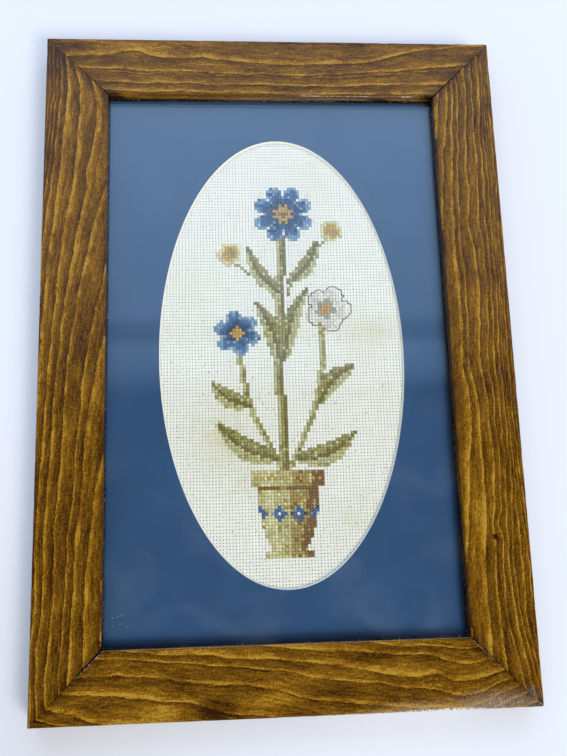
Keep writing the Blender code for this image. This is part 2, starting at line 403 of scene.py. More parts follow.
def mat_paper(settings):
    """Mat board: a matt navy paper over a cream paper core, cut with a knife, and lined behind."""
    made, add = new_material("navy_mat_paper")
    place = add("TexCoord").outputs["Object"]
    where = add("SeparateXYZ", (place,))
    up = add("SeparateXYZ", (add("NewGeometry").outputs["Normal"],)).outputs["Z"]
    fibre = add("TexNoise", {"Vector": place, "Scale": 1 / PAPER_FIBRE, "Detail": 3.0})
    cloud = add("TexNoise", {"Vector": place, "Scale": 1 / PAPER_CLOUD, "Detail": 2.0})
    fibre_tone = add("MapRange", (fibre, 0.3, 0.7, 0.99, 1.01))
    cloud_tone = add("MapRange", (cloud, 0.3, 0.7, 0.93, 1.07))
    tone = add("Math", (fibre_tone, cloud_tone), operation="MULTIPLY")
    # Painted shade: the paper is darkened along the lips, where their shadow falls
    for axis, side, lip, reach in LIP_SHADE:
        inwards = add("Math", (where.outputs[axis], -side, lip), operation="MULTIPLY_ADD")
        ragged = add("Math", (cloud, MM, inwards), operation="MULTIPLY_ADD")
        lip_shade = add("MapRange", (ragged, 0.2 * MM, reach, 0.05, 1.0))
        tone = add("Math", (tone, lip_shade), operation="MULTIPLY")
    face = add("VectorMath", {0: settings.face[:3], "Scale": tone}, operation="SCALE")
    core = add("VectorMath", {0: settings.core[:3], "Scale": fibre_tone}, operation="SCALE")
    front = add("Math", (up, 0.9), operation="GREATER_THAN")
    paper_line = highest("mat_board").z - PAPER_SKIN
    skin = add("Math", (where.outputs["Z"], paper_line), operation="GREATER_THAN")
    front = add("Math", (front, skin), operation="MAXIMUM")
    behind = add("Math", (up, -0.9), operation="LESS_THAN")
    colour = core.outputs[0]
    for cover, over in ((front, face.outputs[0]), (behind, settings.back)):
        colour = add("Mix", {0: cover, 6: colour, 7: over}, data_type="RGBA").outputs[2]
    shader = add("BsdfPrincipled", {"Base Color": colour, "Roughness": 0.85, "Specular IOR Level": 0.25})
    add("OutputMaterial", (shader,))
    return made


THREADS_PER_BLOCK = 4
SLUB_LENGTH = 14 * MM
SEED_SPACING = 3.2 * MM
BLOT_SIZE = 5 * MM


def evenweave_cotton(settings, lattice):
    """Aida: unbleached cotton woven in blocks of four threads each way, with a hole at each block's corners.

    It is matt, with thread lines a quarter of a block apart, seed flecks and faint age stains.
    """
    made, add = new_material("woven_cotton_evenweave")
    place = add("TexCoord").outputs["Object"]
    shifted = add("VectorMath", (place, (lattice.x, lattice.y, 0.0)), operation="SUBTRACT")
    # Each hole is a dark round spot where the lattice's lines cross, and no two are quite of one size
    lattice_place = add("Attribute", attribute_name="lattice").outputs["Vector"]
    off = add("VectorMath", (lattice_place,), operation="FRACTION")
    off = add("VectorMath", (off, (0.5, 0.5, 0.0)), operation="SUBTRACT")
    off = add("VectorMath", (off,), operation="LENGTH").outputs["Value"]
    uneven = add("TexNoise", {"Vector": lattice_place, "Scale": 0.9, "Detail": 2.0})
    rim = add("MapRange", (uneven, 0.3, 0.7, 0.16, 0.27))
    pit = add("Math", (rim, 0.55), operation="MULTIPLY")
    depth = add("MapRange", (off, pit, rim, 1.0, 0.0), interpolation_type="SMOOTHSTEP")

    # The threads go over one and under one
    thread = settings.pitch / THREADS_PER_BLOCK
    turned = add("VectorMath", {0: shifted, "Scale": pi / thread}, operation="SCALE")
    turned = add("SeparateXYZ", (turned,))
    warp, weft = (add("Math", (turned.outputs[axis],), operation="SINE") for axis in "XY")
    weave = add("Math", (warp, weft), operation="MULTIPLY")
    # Uneven yarn: slubs along each way of the weave
    slubs = []
    for way in ((1 / SLUB_LENGTH, 1 / thread, 1.0), (1 / thread, 1 / SLUB_LENGTH, 1.0)):
        scaled = add("VectorMath", (shifted, way), operation="MULTIPLY")
        slubs.append(add("TexNoise", {"Vector": scaled, "Scale": 0.8, "Detail": 2.0}))
    slub = add("Math", slubs, operation="ADD")
    slub_tone = add("MapRange", (slub, 0.7, 1.3, 0.90, 1.08))
    weave_tone = add("MapRange", (weave, -1.0, 1.0, 0.94, 1.04))
    tone = add("Math", (slub_tone, weave_tone), operation="MULTIPLY")
    # Seed flecks, up to half a millimetre long
    seeds = add("TexVoronoi", {"Vector": shifted, "Scale": 1 / SEED_SPACING, "Randomness": 1.0}, feature="F1")
    seed_size = add("MapRange", (seeds.outputs["Color"], 0.3, 0.85, 0.03, 0.27))
    seed = add("MapRange", (seeds.outputs["Distance"], 0.0, seed_size, 0.8, 0.0))
    stained = add("Attribute", attribute_name="stain").outputs["Fac"]
    blot = add("TexNoise", {"Vector": shifted, "Scale": 1 / BLOT_SIZE, "Detail": 3.0})
    blot = add("MapRange", (blot, 0.35, 0.65, 0.4, 1.0))
    blotted = add("Math", (stained, blot), operation="MULTIPLY")
    colour = add("VectorMath", {0: settings.yarn[:3], "Scale": tone}, operation="SCALE").outputs[0]
    for cover, over in ((depth, settings.gap), (seed, settings.fleck), (blotted, settings.stain)):
        colour = add("Mix", {0: cover, 6: colour, 7: over}, data_type="RGBA").outputs[2]
    relief = add("Math", (slub, 0.6, weave), operation="MULTIPLY_ADD")
    bump = add("Bump", {"Strength": 0.6, "Distance": 0.08 * MM, "Height": relief})
    matt = {"Base Color": colour, "Roughness": 0.92, "Specular IOR Level": 0.15, "Normal": bump}
    matt.update({"Sheen Weight": 0.15, "Sheen Roughness": 0.5})
    add("OutputMaterial", (add("BsdfPrincipled", matt),))
    return made


TWIST_LENGTH = 0.9


def stranded_cotton(name, colour):
    """Embroidery floss: mercerised cotton, spun in soft strands, with a silky sheen along the twist."""
    made, add = new_material("stranded_cotton_" + name)
    lay = add("SeparateXYZ", (add("Attribute", attribute_name="lay").outputs["Vector"],))
    turn = add("Math", (lay.outputs["X"], 2 * pi / TWIST_LENGTH, lay.outputs["Y"]), operation="MULTIPLY_ADD")
    twist = add("Math", (turn,), operation="SINE")
    tone = add("MapRange", (twist, -1.0, 1.0, 0.90, 1.06))
    # Each stitch takes the light a little differently, and a leg is shaded where it dives into the hole
    dive = add("Attribute", attribute_name="dive").outputs["Fac"]
    for value, low, high in ((lay.outputs["Z"], 0.78, 1.16), (dive, 1.0, 0.35)):
        shade = add("MapRange", (value, 0.0, 1.0, low, high))
        tone = add("Math", (tone, shade), operation="MULTIPLY")
    shaded = add("VectorMath", {0: colour[:3], "Scale": tone}, operation="SCALE")
    bump = add("Bump", {"Strength": 0.5, "Distance": 0.06 * MM, "Height": twist})
    silky = {"Base Color": shaded, "Roughness": 0.6, "Specular IOR Level": 0.3, "Normal": bump}
    silky.update({"Sheen Weight": 0.25, "Sheen Roughness": 0.4})
    add("OutputMaterial", (add("BsdfPrincipled", silky),))
    return made


FIBRE_BUNDLE = 1.6 * MM
FIBRE_CLOUD = 40 * MM


def fibre_board():
    """Hardboard: wood fibre pressed flat, brown and matt, with darker and paler fibre bundles."""
    made, add = new_material("pressed_fibre_board")
    place = add("TexCoord").outputs["Object"]
    bundle = add("TexNoise", {"Vector": place, "Scale": 1 / FIBRE_BUNDLE, "Detail": 5.0})
    cloud = add("TexNoise", {"Vector": place, "Scale": 1 / FIBRE_CLOUD, "Detail": 3.0})
    tone = add("MapRange", (cloud, 0.3, 0.7, 0.88, 1.1))
    browns = ((0.3, linear("#6B4E31")), (0.5, linear("#8D6C47")), (0.7, linear("#A98A60")))
    colour = add("VectorMath", {0: add("ValToRGB", (bundle,), browns), "Scale": tone}, operation="SCALE")
    bump = add("Bump", {"Strength": 0.5, "Distance": 0.15 * MM, "Height": bundle})
    pressed = {"Base Color": colour, "Roughness": 0.82, "Specular IOR Level": 0.3, "Normal": bump}
    add("OutputMaterial", (add("BsdfPrincipled", pressed),))
    return made


# Meshes

def new_piece(name, points, faces, material, sharp=None, closed=False):
    """A shaded mesh object, sharp at edges past an angle. If it is closed, its faces are turned outwards."""
    mesh = bpy.data.meshes.new(name)
    mesh.from_pydata(np.asarray(points).tolist(), [], faces)
    mesh.validate()
    if closed:
        shape = bmesh.new()
        shape.from_mesh(mesh)
        bmesh.ops.recalc_face_normals(shape, faces=shape.faces)
        shape.to_mesh(mesh)
        shape.free()
    mesh.shade_smooth()
    if sharp is not None:
        mesh.set_sharp_from_angle(angle=sharp)
    mesh.materials.append(material)
    made = bpy.data.objects.new(name, mesh)
    bpy.context.scene.collection.objects.link(made)
    return made


def store(piece, name, values, kind="FLOAT"):
    """Keeps one value for each point, which the material reads."""
    attribute = piece.data.attributes.new(name, kind, "POINT")
    field = "vector" if kind == "FLOAT_VECTOR" else "value"
    attribute.data.foreach_set(field, np.ravel(values).astype(np.float32))


def stand_for(piece, node):
    """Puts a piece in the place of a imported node."""
    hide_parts(node)
    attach(piece, BODY)


def spaced(start, end, step):
    """Even places from start on, about a step apart, with the end left out."""
    count = max(1, round(abs(end - start) / step))
    return [start + (end - start) * place / count for place in range(count)]


# Rails

# A rail: its node, its quarter turns from the bottom rail's place, which way the rings are counted across it,
# how they slant through it, how wide they are before the first one listed and past the last, the rings, and
# spots. A ring is how far its sharp edge lies from the rail's outer edge, in millimetres, at even stations
# along the rail as it is seen. A spot is its place along the rail as it is seen and across it, its reach each
# way, and a strength: a bend pushes the rings across, wear is rubbed above 0 and darker below 0, and the stain
# of a patch is thin above 0 and thick below 0. Below 0, wear is dirt on the face, painted shade at the top
# wall's ends, on the top wall and along the right wall, and a plain darkening along the left wall
Board = namedtuple("Board", "node quarter_turns inwards slant ring_widths rings bends worn patches")
BOARDS = (
    Board(
        "rail_top", 2, 1, 0.7, (5.0, 5.0),
        rings=(
            (-2.0, -2.0, -1.5, -0.5, 1.4, 1.2, -2.0, -6.0),
            (13.6, 12.4, 13.2, 16.3, 17.6, 15.0, 4.2, 2.6),
            (21.0, 21.3, 23.0, 24.2, 25.2, 21.8, 18.9, 14.0),
            (21.8, 22.0, 23.6, 24.7, 25.6, 24.2, 20.2, 17.0),
            (29.6, 29.7, 31.0, 31.4, 32.6, 31.4, 30.2, 29.0),
            (36.0, 35.6, 36.6, 37.4, 37.6, 37.4, 37.0, 36.6),
        ),
        bends=((-86, 11, 10, 6, -4.0), (-46, 12, 9, 5, -0.8)),
        # Below 0: dirt on the face near its outer edge, and painted shade at the wall's ends and on the wall
        worn=(
            (-118, 5, 16, 3.5, -0.5), (-66, 0, 14, 1.6, -0.5), (-99, 41, 7, 5, -1.0), (101, 41, 6, 5, -1.0),
            (66, 43, 9, 3, -0.7), (45, 38, 60, 0.4, 0.72), (24, 38, 9, 0.5, 0.95), (58, 38, 5, 0.5, 0.95),
            (84, 38, 7, 0.5, 0.95), (20, 42, 95, 4, 0.5),
        ),
        patches=((-90, 6, 20, 3.5, 0.32), (-60, 2, 60, 2.5, 0.12), (60, 10, 40, 6, -0.08)),
    ),
    Board(
        "rail_bottom", 0, -1, 0.8, (6.0, 6.0),
        rings=(
            (52.0, 49.0, 46.0, 43.0, 39.0, 34.7, 30.8, 38.0),
            (46.0, 44.0, 41.5, 37.4, 32.6, 30.4, 22.2, 30.0),
            (39.5, 37.0, 33.7, 30.6, 26.0, 18.4, 13.0, 26.0),
            (33.0, 32.6, 29.6, 26.2, 18.0, 13.4, 6.4, 21.0),
            (24.0, 24.8, 20.4, 16.0, 7.0, 1.6, 0.8, 16.0),
            (17.4, 14.8, 7.8, 1.0, -5.0, -8.0, -6.0, 11.0),
            (11.0, -1.0, -5.0, -9.0, -12.0, -14.0, -12.0, 5.0),
        ),
        bends=((78, 28, 8, 7, 2.2), (-56, 8, 9, 5, 2.5), (80, 18, 7, 5, 2.0)),
        worn=(
            (114, 2, 34, 9, 0.58), (72, 1, 36, 6, 0.46), (85, 0.3, 30, 1.3, 1.3), (60, 0.0, 60, 0.8, 1.05),
            (0, 38, 260, 0.5, 0.4),
        ),
        patches=(
            (-71, 5, 15, 5, 0.4), (10, 20, 11, 2.5, 0.3), (-41, 6, 11, 5, -0.45), (26, 12, 24, 4, -0.3),
            (-104, 11, 22, 4, -0.2), (-5, 9, 20, 4, 0.3), (-85, 14, 28, 3, 0.2), (30, 36, 60, 1.5, 0.2),
            (-66, 22, 30, 3, -0.15), (72, 2, 30, 3, 0.4),
        ),
    ),
    Board(
        "rail_left", 3, -1, 0.9, (8.5, 2.2),
        rings=(
            (72.0, 66.0, 60.0, 54.0, 48.5, 43.0, 39.5, 32.6, 28.6, 28.1, 28.5),
            (66.0, 60.0, 54.0, 48.5, 43.0, 33.8, 28.0, 25.0, 22.2, 20.8, 19.0),
            (58.0, 53.0, 48.0, 43.0, 33.6, 26.6, 23.2, 20.4, 18.0, 15.8, 15.0),
            (50.0, 46.0, 41.0, 29.4, 21.0, 16.2, 14.2, 12.3, 10.6, 9.1, 8.0),
            (18.0, 29.4, 27.8, 21.0, 14.2, 10.6, 8.0, 7.0, 5.0, 4.0, 3.0),
            (14.0, 20.4, 18.4, 12.7, 8.5, 6.0, 3.8, 2.3, 0.8, 0.2, -0.5),
            (11.0, 12.2, 10.0, 5.6, 1.8, -0.2, -2.0, -3.0, -4.0, -5.0, -6.0),
            (8.4, 8.4, 5.8, 1.0, -2.0, -4.0, -6.0, -7.0, -8.0, -9.0, -10.0),
            (6.4, 6.2, 3.4, -2.0, -5.0, -8.0, -10.0, -11.0, -12.0, -13.0, -14.0),
        ),
        bends=((-116, 25, 9, 5, -1.5), (-148, 31, 20, 6, 1.4)),
        worn=((0, 42, 260, 5, -0.5),),
        patches=(
            (-190, 8, 20, 6, -0.2), (-168, 6, 40, 5, -0.15), (150, 33, 50, 4, 0.12), (90, 14, 90, 30, -0.08),
        ),
    ),
    Board(
        "rail_right", 1, -1, 0.9, (6.0, 1.9),
        rings=(
            (26.6, 27.4, 33.5, 37.4, 37.8, 39.0, 40.0, 41.0, 42.0, 43.0, 44.0),
            (25.2, 24.4, 28.2, 29.9, 29.2, 29.6, 27.8, 31.6, 36.4, 37.4, 38.0),
            (23.5, 21.2, 25.0, 26.6, 25.7, 25.8, 23.2, 23.2, 25.0, 25.8, 24.0),
            (16.0, 16.2, 19.4, 20.9, 16.8, 19.2, 17.3, 17.2, 19.4, 19.0, 17.0),
            (12.6, 12.0, 12.2, 14.0, 11.4, 13.6, 13.8, 14.2, 15.4, 15.0, 6.0),
            (8.0, 7.0, 9.4, 9.6, 8.8, 10.2, 10.4, 10.6, 12.8, 9.6, 3.0),
            (5.4, 5.8, 6.8, 6.2, 5.8, 7.2, 7.6, 7.0, 10.4, 7.0, 0.0),
            (3.8, 4.0, 5.0, 5.0, 4.4, 5.2, 5.6, 5.4, 4.8, 4.0, -2.0),
            (2.4, 2.8, 4.0, 3.8, 3.4, 4.2, 4.8, 3.6, 1.2, 1.0, -4.0),
        ),
        bends=(
            (-102, 19, 9, 4, -2.0), (-64, 18, 8, 6, -1.2), (-126, 33, 8, 4, 1.4), (102, 18, 6, 4, 2.4),
            (10, 29, 7, 4, 1.2),
        ),
        # A rubbed spot, and painted shade along the whole wall
        worn=((197, 7, 7, 6, 0.5), (0, 42, 260, 5, -0.6)),
        patches=((82, 33, 26, 4, 0.25), (105, 28, 12, 4, 0.2), (-150, 12, 30, 5, -0.15)),
    ),
)

# The frame's corners in the order of quarter turns: how far each tip is worn back and how far its mitre has
# opened at the sight edge, in millimetres, and where its glue still holds, as a share from the outer tip
Corner = namedtuple("Corner", "wear opening held")
CORNERS = (Corner(0.3, 1.6, 0.45), Corner(1.4, 0.7, 0.3), Corner(0.7, 0.9, 0.2), Corner(0.5, 0.6, 0.3))
GLUE_LINE = 0.12 * MM
MITRE_DEPTH = 5 * MM
MITRE_CLOSED = 0.2
# A small dark knot, in millimetres as its board is seen
KNOT_BOARD = "rail_right"
KNOT_PLACE = Vector((110.0, 20.0))
NO_KNOT = 99.0
# How far the rings waver: reach along, reach across and size in millimetres, and a seed
WAVERS = ((30, 20, 1.3, 0), (11, 7, 0.8, 5), (2.4, 2.4, 0.22, 9))
WAVER_SLANT = 0.6
WAVER_SEED = 17.3
# How far the stations reach each way along a rail, by whether it is upright, and how far a ring is smoothed
STATION_REACH = {False: 140, True: 200}
RING_BLUR = 15
THINNEST_RING = 0.6
RINGS_BEFORE = 20
# The share of a ring's width at which late wood begins, and the share that its edge takes
LATE_START = 0.5
RING_EDGE = 0.1
# Wear on the face and on the edges, which are sound near a mitre
SWELL = 0.10 * MM
SWELL_LENGTH = 45 * MM
SWELL_WIDTH = 18 * MM
DENT_ACROSS = 0.22 * MM
DENT_DOWN = 0.18 * MM
DENT_LENGTH = 7 * MM
DENT_FREE = 3
DENT_SEED = 7.7
NEVER_STAINED = 2.0
# Painted shade at the foot of the inner walls, where they meet the glass: its strength and its height
FOOT_SHADE = 0.5
FOOT_SHADE_HEIGHT = 1.2 * MM
# The part of a mitre, from its outer tip, that the bottom rail's finish has flaked off past
FLAKED_FROM = 0.55
FLAKED_OVER = 0.1
# The mesh of a rail's section
EASING_STEPS = 5
SIDE_STEP = 2 * MM
WALL_STEP = 0.8 * MM
BACK_STEP = 3 * MM
SHARP_RAIL = radians(35)


def nearness(spot, seen, out):
    """A spot's strength at a place: full at its middle, and falling off to 0 past its reach."""
    along, across, reach_along, reach_across, strength = spot
    return strength * np.exp(-(((seen - along) / reach_along) ** 2) - ((out - across) / reach_across) ** 2)


def as_seen(board, along):
    """Millimetres along a rail from its middle, as the picture is seen."""
    return (1 if board.quarter_turns in (0, 3) else -1) * along / MM


def waver(along, across, seed):
    """How far the rings waver across the board at a point, in millimetres."""
    return sum(
        push * noise.noise(Vector((along / long, across / wide, seed + own)))
        for long, wide, push, own in WAVERS
    )


def grow_rings(board, along, across, height):
    """For points of a rail, in metres, the number of rings that lie before each and the width of its ring.

    Between two listed rings the number grows evenly. Past the first and last it grows by the ring width.
    """
    seen = as_seen(board, along)
    out = across / MM
    deep = (RAIL_THICKNESS - height) / MM
    seed = (board.quarter_turns + 1) * WAVER_SEED
    push = np.array([waver(place, side, seed) for place, side in zip(seen, out + WAVER_SLANT * deep)])
    for bend in board.bends:
        push -= nearness(bend, seen, out)
    place = board.inwards * (out + push) + board.slant * deep
    reach = STATION_REACH[board.quarter_turns % 2 == 1]
    every = np.arange(-reach - 10.0, reach + 11.0)
    stations = np.linspace(-reach, reach, len(board.rings[0]))
    blur = np.hanning(2 * RING_BLUR + 1)
    blur = blur / blur.sum()
    edges = []
    for ring in board.rings:
        line = np.pad(np.interp(every, stations, ring), RING_BLUR, "edge")
        edges.append(board.inwards * np.interp(seen, every, np.convolve(line, blur, "valid")))
    first_width, last_width = board.ring_widths
    number = np.minimum(0, (place - edges[0]) / first_width) + np.maximum(0, (place - edges[-1]) / last_width)
    width = np.where(place < edges[0], first_width, last_width)
    for before, after in zip(edges, edges[1:]):
        gap = np.maximum(after - before, THINNEST_RING)
        number += np.clip((place - before) / gap, 0, 1)
        width = np.where((place > before) & (place <= after), gap, width)
    return number + RINGS_BEFORE, width


def late_wood(number):
    """How hard the wood is at a ring number, from 0 in early wood to 1 in late wood."""
    share = number - np.floor(number)
    hardening = np.clip((share - LATE_START) / (1 - RING_EDGE - LATE_START), 0, 1)
    return np.where(share < 1 - RING_EDGE, hardening, (1 - share) / RING_EDGE)


def end_of_rail(length, across, height, corner):
    """How far a rail reaches along, at a place across it and a height: its mitre, with a worn corner.

    The mitre is open at the face of the sight edge, and its glue holds near the tip and deep in the wood.
    """
    share = across / RAIL_WIDTH
    gape = max(0.0, (share - corner.held) / (1 - corner.held)) * (corner.opening * MM - GLUE_LINE)
    depth = (RAIL_THICKNESS - height) / MITRE_DEPTH
    opened = (GLUE_LINE + gape) * max(MITRE_CLOSED, 1 - depth)
    mitre = length / 2 - across - opened / sqrt(2)
    wear = corner.wear * MM
    if across < wear:
        mitre = min(mitre, length / 2 - wear + sqrt(wear**2 - (wear - across) ** 2))
    return mitre


def rail_section(settings):
    """Points round the moulding's section as (across, height, the part of the section that it is on)."""
    outer, sight, back = settings.outer_easing, settings.sight_easing, settings.back_easing
    width, thickness, rebate = RAIL_WIDTH, RAIL_THICKNESS, REBATE_EDGE
    angles = [pi / 2 * step / EASING_STEPS for step in range(EASING_STEPS + 1)]
    points = [(0.0, height, "side") for height in spaced(back, thickness - outer, SIDE_STEP)]
    points += [(outer - outer * cos(turn), thickness - outer + outer * sin(turn), "outer") for turn in angles]
    points += [(across, thickness, "face") for across in spaced(outer, width - sight, settings.face_step)[1:]]
    points += [
        (width - sight + sight * sin(turn), thickness - sight + sight * cos(turn), "sight") for turn in angles
    ]
    points += [(width, height, "wall") for height in spaced(thickness - sight, LIP_BACK, WALL_STEP)[1:]]
    points.append((width, LIP_BACK, "wall"))
    points += [(across, LIP_BACK, "rebate") for across in spaced(width, rebate, SIDE_STEP)[1:]]
    points += [(rebate, height, "rebate") for height in spaced(LIP_BACK, 0.0, SIDE_STEP)]
    points += [(across, 0.0, "back") for across in spaced(rebate, back, BACK_STEP)]
    points.append((back, 0.0, "back"))
    return points


def worn_point(board, along, across, height, edge, hard, mitre, settings):
    """A point of a rail after years of use: the face undulates, hard rings stand up, edges are dented."""
    seed = (board.quarter_turns + 1) * DENT_SEED
    if edge == "face":
        swell = 0.5 + 0.5 * noise.noise(Vector((along / SWELL_LENGTH, across / SWELL_WIDTH, seed)))
        height -= SWELL * swell + settings.raised_grain * (1 - hard)
    if edge in ("outer", "sight"):
        dent = max(0.0, noise.noise(Vector((along / DENT_LENGTH, seed, across / MM))))
        dent *= min(1.0, mitre / DENT_FREE)
        across += DENT_ACROSS * dent * (1 if edge == "outer" else -1)
        height -= DENT_DOWN * dent
    return along, across, height


def bareness_and_shade_at(board, along, across, height, edge):
    """How worn the finish is at a point: 0 where it is sound, 1 where it is gone, and below 0 for dirt and
    painted shade.
    """
    if edge in ("back", "rebate"):
        return NEVER_STAINED
    out = across / MM
    if edge == "wall":
        out += (RAIL_THICKNESS - height) / MM
    bare = 0.0
    for spot in board.worn:
        bare = max(bare, nearness(spot, as_seen(board, along), out), key=abs)
    if edge == "wall":
        # Painted shade in the corner where the wall meets the glass
        bare -= FOOT_SHADE * max(0.0, 1 - (height - LIP_BACK) / FOOT_SHADE_HEIGHT)
    return bare


def make_rail(board, settings, material):
    """One mitred rail. Its own X runs along it and its Y from the frame's outer edge inwards."""
    turns = board.quarter_turns
    upright = turns % 2 == 1
    length, apart = (FRAME_HEIGHT, FRAME_WIDTH) if upright else (FRAME_WIDTH, FRAME_HEIGHT)
    corners = CORNERS[turns], CORNERS[(turns + 1) % 4]
    section = rail_section(settings)
    rings = round(length / settings.mesh_step)
    nominal, edges, mitre = [], [], []
    for across, height, edge in section:
        start, end = (end_of_rail(length, across, height, corner) for corner in corners)
        start = -start
        for ring in range(rings + 1):
            along = start + (end - start) * ring / rings
            nominal.append((along, across, height))
            edges.append(edge)
            mitre.append(min(along - start, end - along) / sqrt(2) / MM)
    alongs, acrosses, heights = np.array(nominal).T
    seen, out = as_seen(board, alongs), acrosses / MM
    number, width = grow_rings(board, alongs, acrosses, heights)
    points = [
        worn_point(board, *place, edge, hard, far, settings)
        for place, edge, hard, far in zip(nominal, edges, late_wood(number), mitre)
    ]
    faces = []
    for place in range(len(section)):
        first, beside = place * (rings + 1), (place + 1) % len(section) * (rings + 1)
        faces += [(first + ring, first + ring + 1, beside + ring + 1, beside + ring) for ring in range(rings)]
    faces.append(tuple(place * (rings + 1) for place in range(len(section))))
    faces.append(tuple(place * (rings + 1) + rings for place in reversed(range(len(section)))))
    rail = new_piece("pine_" + board.node, points, faces, material, SHARP_RAIL, closed=True)
    bare = [bareness_and_shade_at(board, *place, edge) for place, edge in zip(nominal, edges)]
    flaked = np.clip((acrosses / RAIL_WIDTH - FLAKED_FROM) / FLAKED_OVER, 0, 1)
    flaked = flaked * (board.node == "rail_bottom")
    thin = sum(nearness(patch, seen, out) for patch in board.patches)
    knot = np.full(len(points), NO_KNOT)
    if board.node == KNOT_BOARD:
        knot = np.hypot(seen - KNOT_PLACE.x, out - KNOT_PLACE.y)
    numbers = np.full(len(points), turns + 1.0)
    for name, values in zip(RAIL_VALUES, (number, width, numbers, bare, mitre, flaked, thin, knot)):
        store(rail, name, values)
    turn = turns * pi / 2
    rail.location = (sin(turn) * apart / 2, -cos(turn) * apart / 2, 0.0)
    rail.rotation_euler = (0.0, 0.0, turn)
    stand_for(rail, board.node)


class PICTURE_OT_dress_rails(bpy.types.Operator):
    """Builds the four stained pine rails with their grain and wear"""

    bl_idname = "picture.dress_rails"
    bl_label = "Dress rails"

    def execute(self, context):
        settings = context.scene.picture_rails
        material = stained_pine(settings)
        for board in BOARDS:
            make_rail(board, settings, material)
        return {"FINISHED"}


# Glass and backing board, whose solids have the right shape already

def refinish(node, material):
    """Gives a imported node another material."""
    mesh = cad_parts[node].data
    mesh.materials.clear()
    mesh.materials.append(material)


class PICTURE_OT_set_glass(bpy.types.Operator):
    """Gives the pane its glass"""

    bl_idname = "picture.set_glass"
    bl_label = "Set glass"

    def execute(self, context):
        refinish("glass_pane", float_glass())
        return {"FINISHED"}


class PICTURE_OT_finish_board(bpy.types.Operator):
    """Gives the backing board its pressed fibre"""

    bl_idname = "picture.finish_board"
    bl_label = "Finish backing board"

    def execute(self, context):
        refinish("backing_board", fibre_board())
        return {"FINISHED"}


# Mat

# How far the face's inner ring lies from the outline to the cut, and the next one from the cut to its foot
FACE_STEP = 0.97
EDGE_STEP = 0.08
CUT_ROUND = 0.015 * MM
CUT_EDGE = 0.16 * MM
KNIFE_WOBBLE = 0.06 * MM
CUT_LOOPS = (2, 3, 4)


def oval(settings, widen):
    """Points round the mat's window, each half size widened by a distance."""
    across = settings.window_width / 2 + widen
    up = settings.window_height / 2 + widen
    angles = [2 * pi * place / settings.segments for place in range(settings.segments)]
    return [(settings.window_x + across * cos(turn), settings.window_y + up * sin(turn)) for turn in angles]


def onto_rectangle(point, middle, half_width, half_height):
    """Where the line from the window's middle through a point meets the mat's outline."""
    way = Vector(point) - middle
    reach_x = (half_width - middle.x if way.x > 0 else half_width + middle.x) / max(abs(way.x), 1e-9)
    reach_y = (half_height - middle.y if way.y > 0 else half_height + middle.y) / max(abs(way.y), 1e-9)
    return middle + way * min(reach_x, reach_y)


def cut_mat(settings):
    """The mat board: rings of points from its outline to the window's bevel and back behind."""
    low, high = lowest("mat_board"), highest("mat_board")
    middle = Vector((settings.window_x, settings.window_y))
    count = settings.segments
    front, back = oval(settings, 0.0), oval(settings, -settings.bevel)
    outline = [onto_rectangle(point, middle, high.x, high.y) for point in front]
    # The outline's points nearest its corners move into them
    for corner_x in (low.x, high.x):
        for corner_y in (low.y, high.y):
            corner = Vector((corner_x, corner_y))
            nearest = min(range(count), key=lambda place: (outline[place] - corner).length)
            outline[nearest] = corner
    loops = (
        (outline, high.z),
        ([edge.lerp(Vector(point), FACE_STEP) for edge, point in zip(outline, front)], high.z),
        (front, high.z - CUT_ROUND),
        ([Vector(edge).lerp(Vector(foot), EDGE_STEP) for edge, foot in zip(front, back)], high.z - CUT_EDGE),
        (back, low.z),
        (outline, low.z),
    )
    points, faces = [], []
    for number, (loop, height) in enumerate(loops):
        for place, point in enumerate(loop):
            wobble = noise.noise(Vector((place * 0.23, number * 0.1, 4.0))) if number in CUT_LOOPS else 0
            out = (Vector(point) - middle).normalized() * (KNIFE_WOBBLE * wobble)
            points.append((point[0] + out.x, point[1] + out.y, height))
        after = (number + 1) % len(loops)
        for place in range(count):
            beside = (place + 1) % count
            here, there = number * count, after * count
            faces.append((here + place, here + beside, there + beside, there + place))
    mat = new_piece("navy_mat", points, faces, mat_paper(settings), radians(30), closed=True)
    stand_for(mat, "mat_board")


class PICTURE_OT_cut_mat(bpy.types.Operator):
    """Cuts the navy mat with its oval window"""

    bl_idname = "picture.cut_mat"
    bl_label = "Cut mat"

    def execute(self, context):
        cut_mat(context.scene.picture_mat)
        return {"FINISHED"}


# Cloth

# Age stains: their middle and reach in millimetres, and their strength
STAINS = (
    (-34, -50, 20, 0.50),
    (-20, -72, 14, 0.34),
    (55, 12, 14, 0.36),
    (40, -96, 12, 0.22),
    (-48, 40, 16, 0.15),
    (20, 110, 18, 0.12),
)
CLOTH_TOP_SINK = 0.02 * MM
HOLE_DEPTH = 0.30 * MM
PILLOW = 0.06 * MM
PULL = 0.30 * MM
PULL_REACHES = (50 * MM, 40 * MM)
UNEVEN = 0.03 * MM
UNEVEN_REACH = 3 * MM
MARGIN_BLOCKS = 3


def drift(x, y):
    """Where a point of the weave lies, after it was pulled off square when it was stretched."""
    long, short = PULL_REACHES
    across = noise.noise(Vector((x / long, y / short, 1.0)))
    up = noise.noise(Vector((x / short, y / long, 9.0)))
    return x + PULL * across, y + PULL * up


def rise(x, y):
    """How far a point of the cloth stands above the others."""
    return UNEVEN * noise.noise(Vector((x / UNEVEN_REACH, y / UNEVEN_REACH, 2.0)))


def stain_at(x, y):
    """How strong the age stains are at a point."""
    return max(
        strength * exp(-((x / MM - middle_x) ** 2 + (y / MM - middle_y) ** 2) / reach**2)
        for middle_x, middle_y, reach, strength in STAINS
    )


def cloth_face():
    """Height of the cloth between its blocks, which the stitches lie on."""
    return highest("evenweave_cloth").z - PILLOW - CLOTH_TOP_SINK


def lattice_origin(stitch_settings, cloth_settings):
    """A hole of the cloth: the corner of the design's middle stitch in its first row."""
    half = cloth_settings.pitch / 2
    return Vector((stitch_settings.middle_x + half, stitch_settings.foot_y - half))


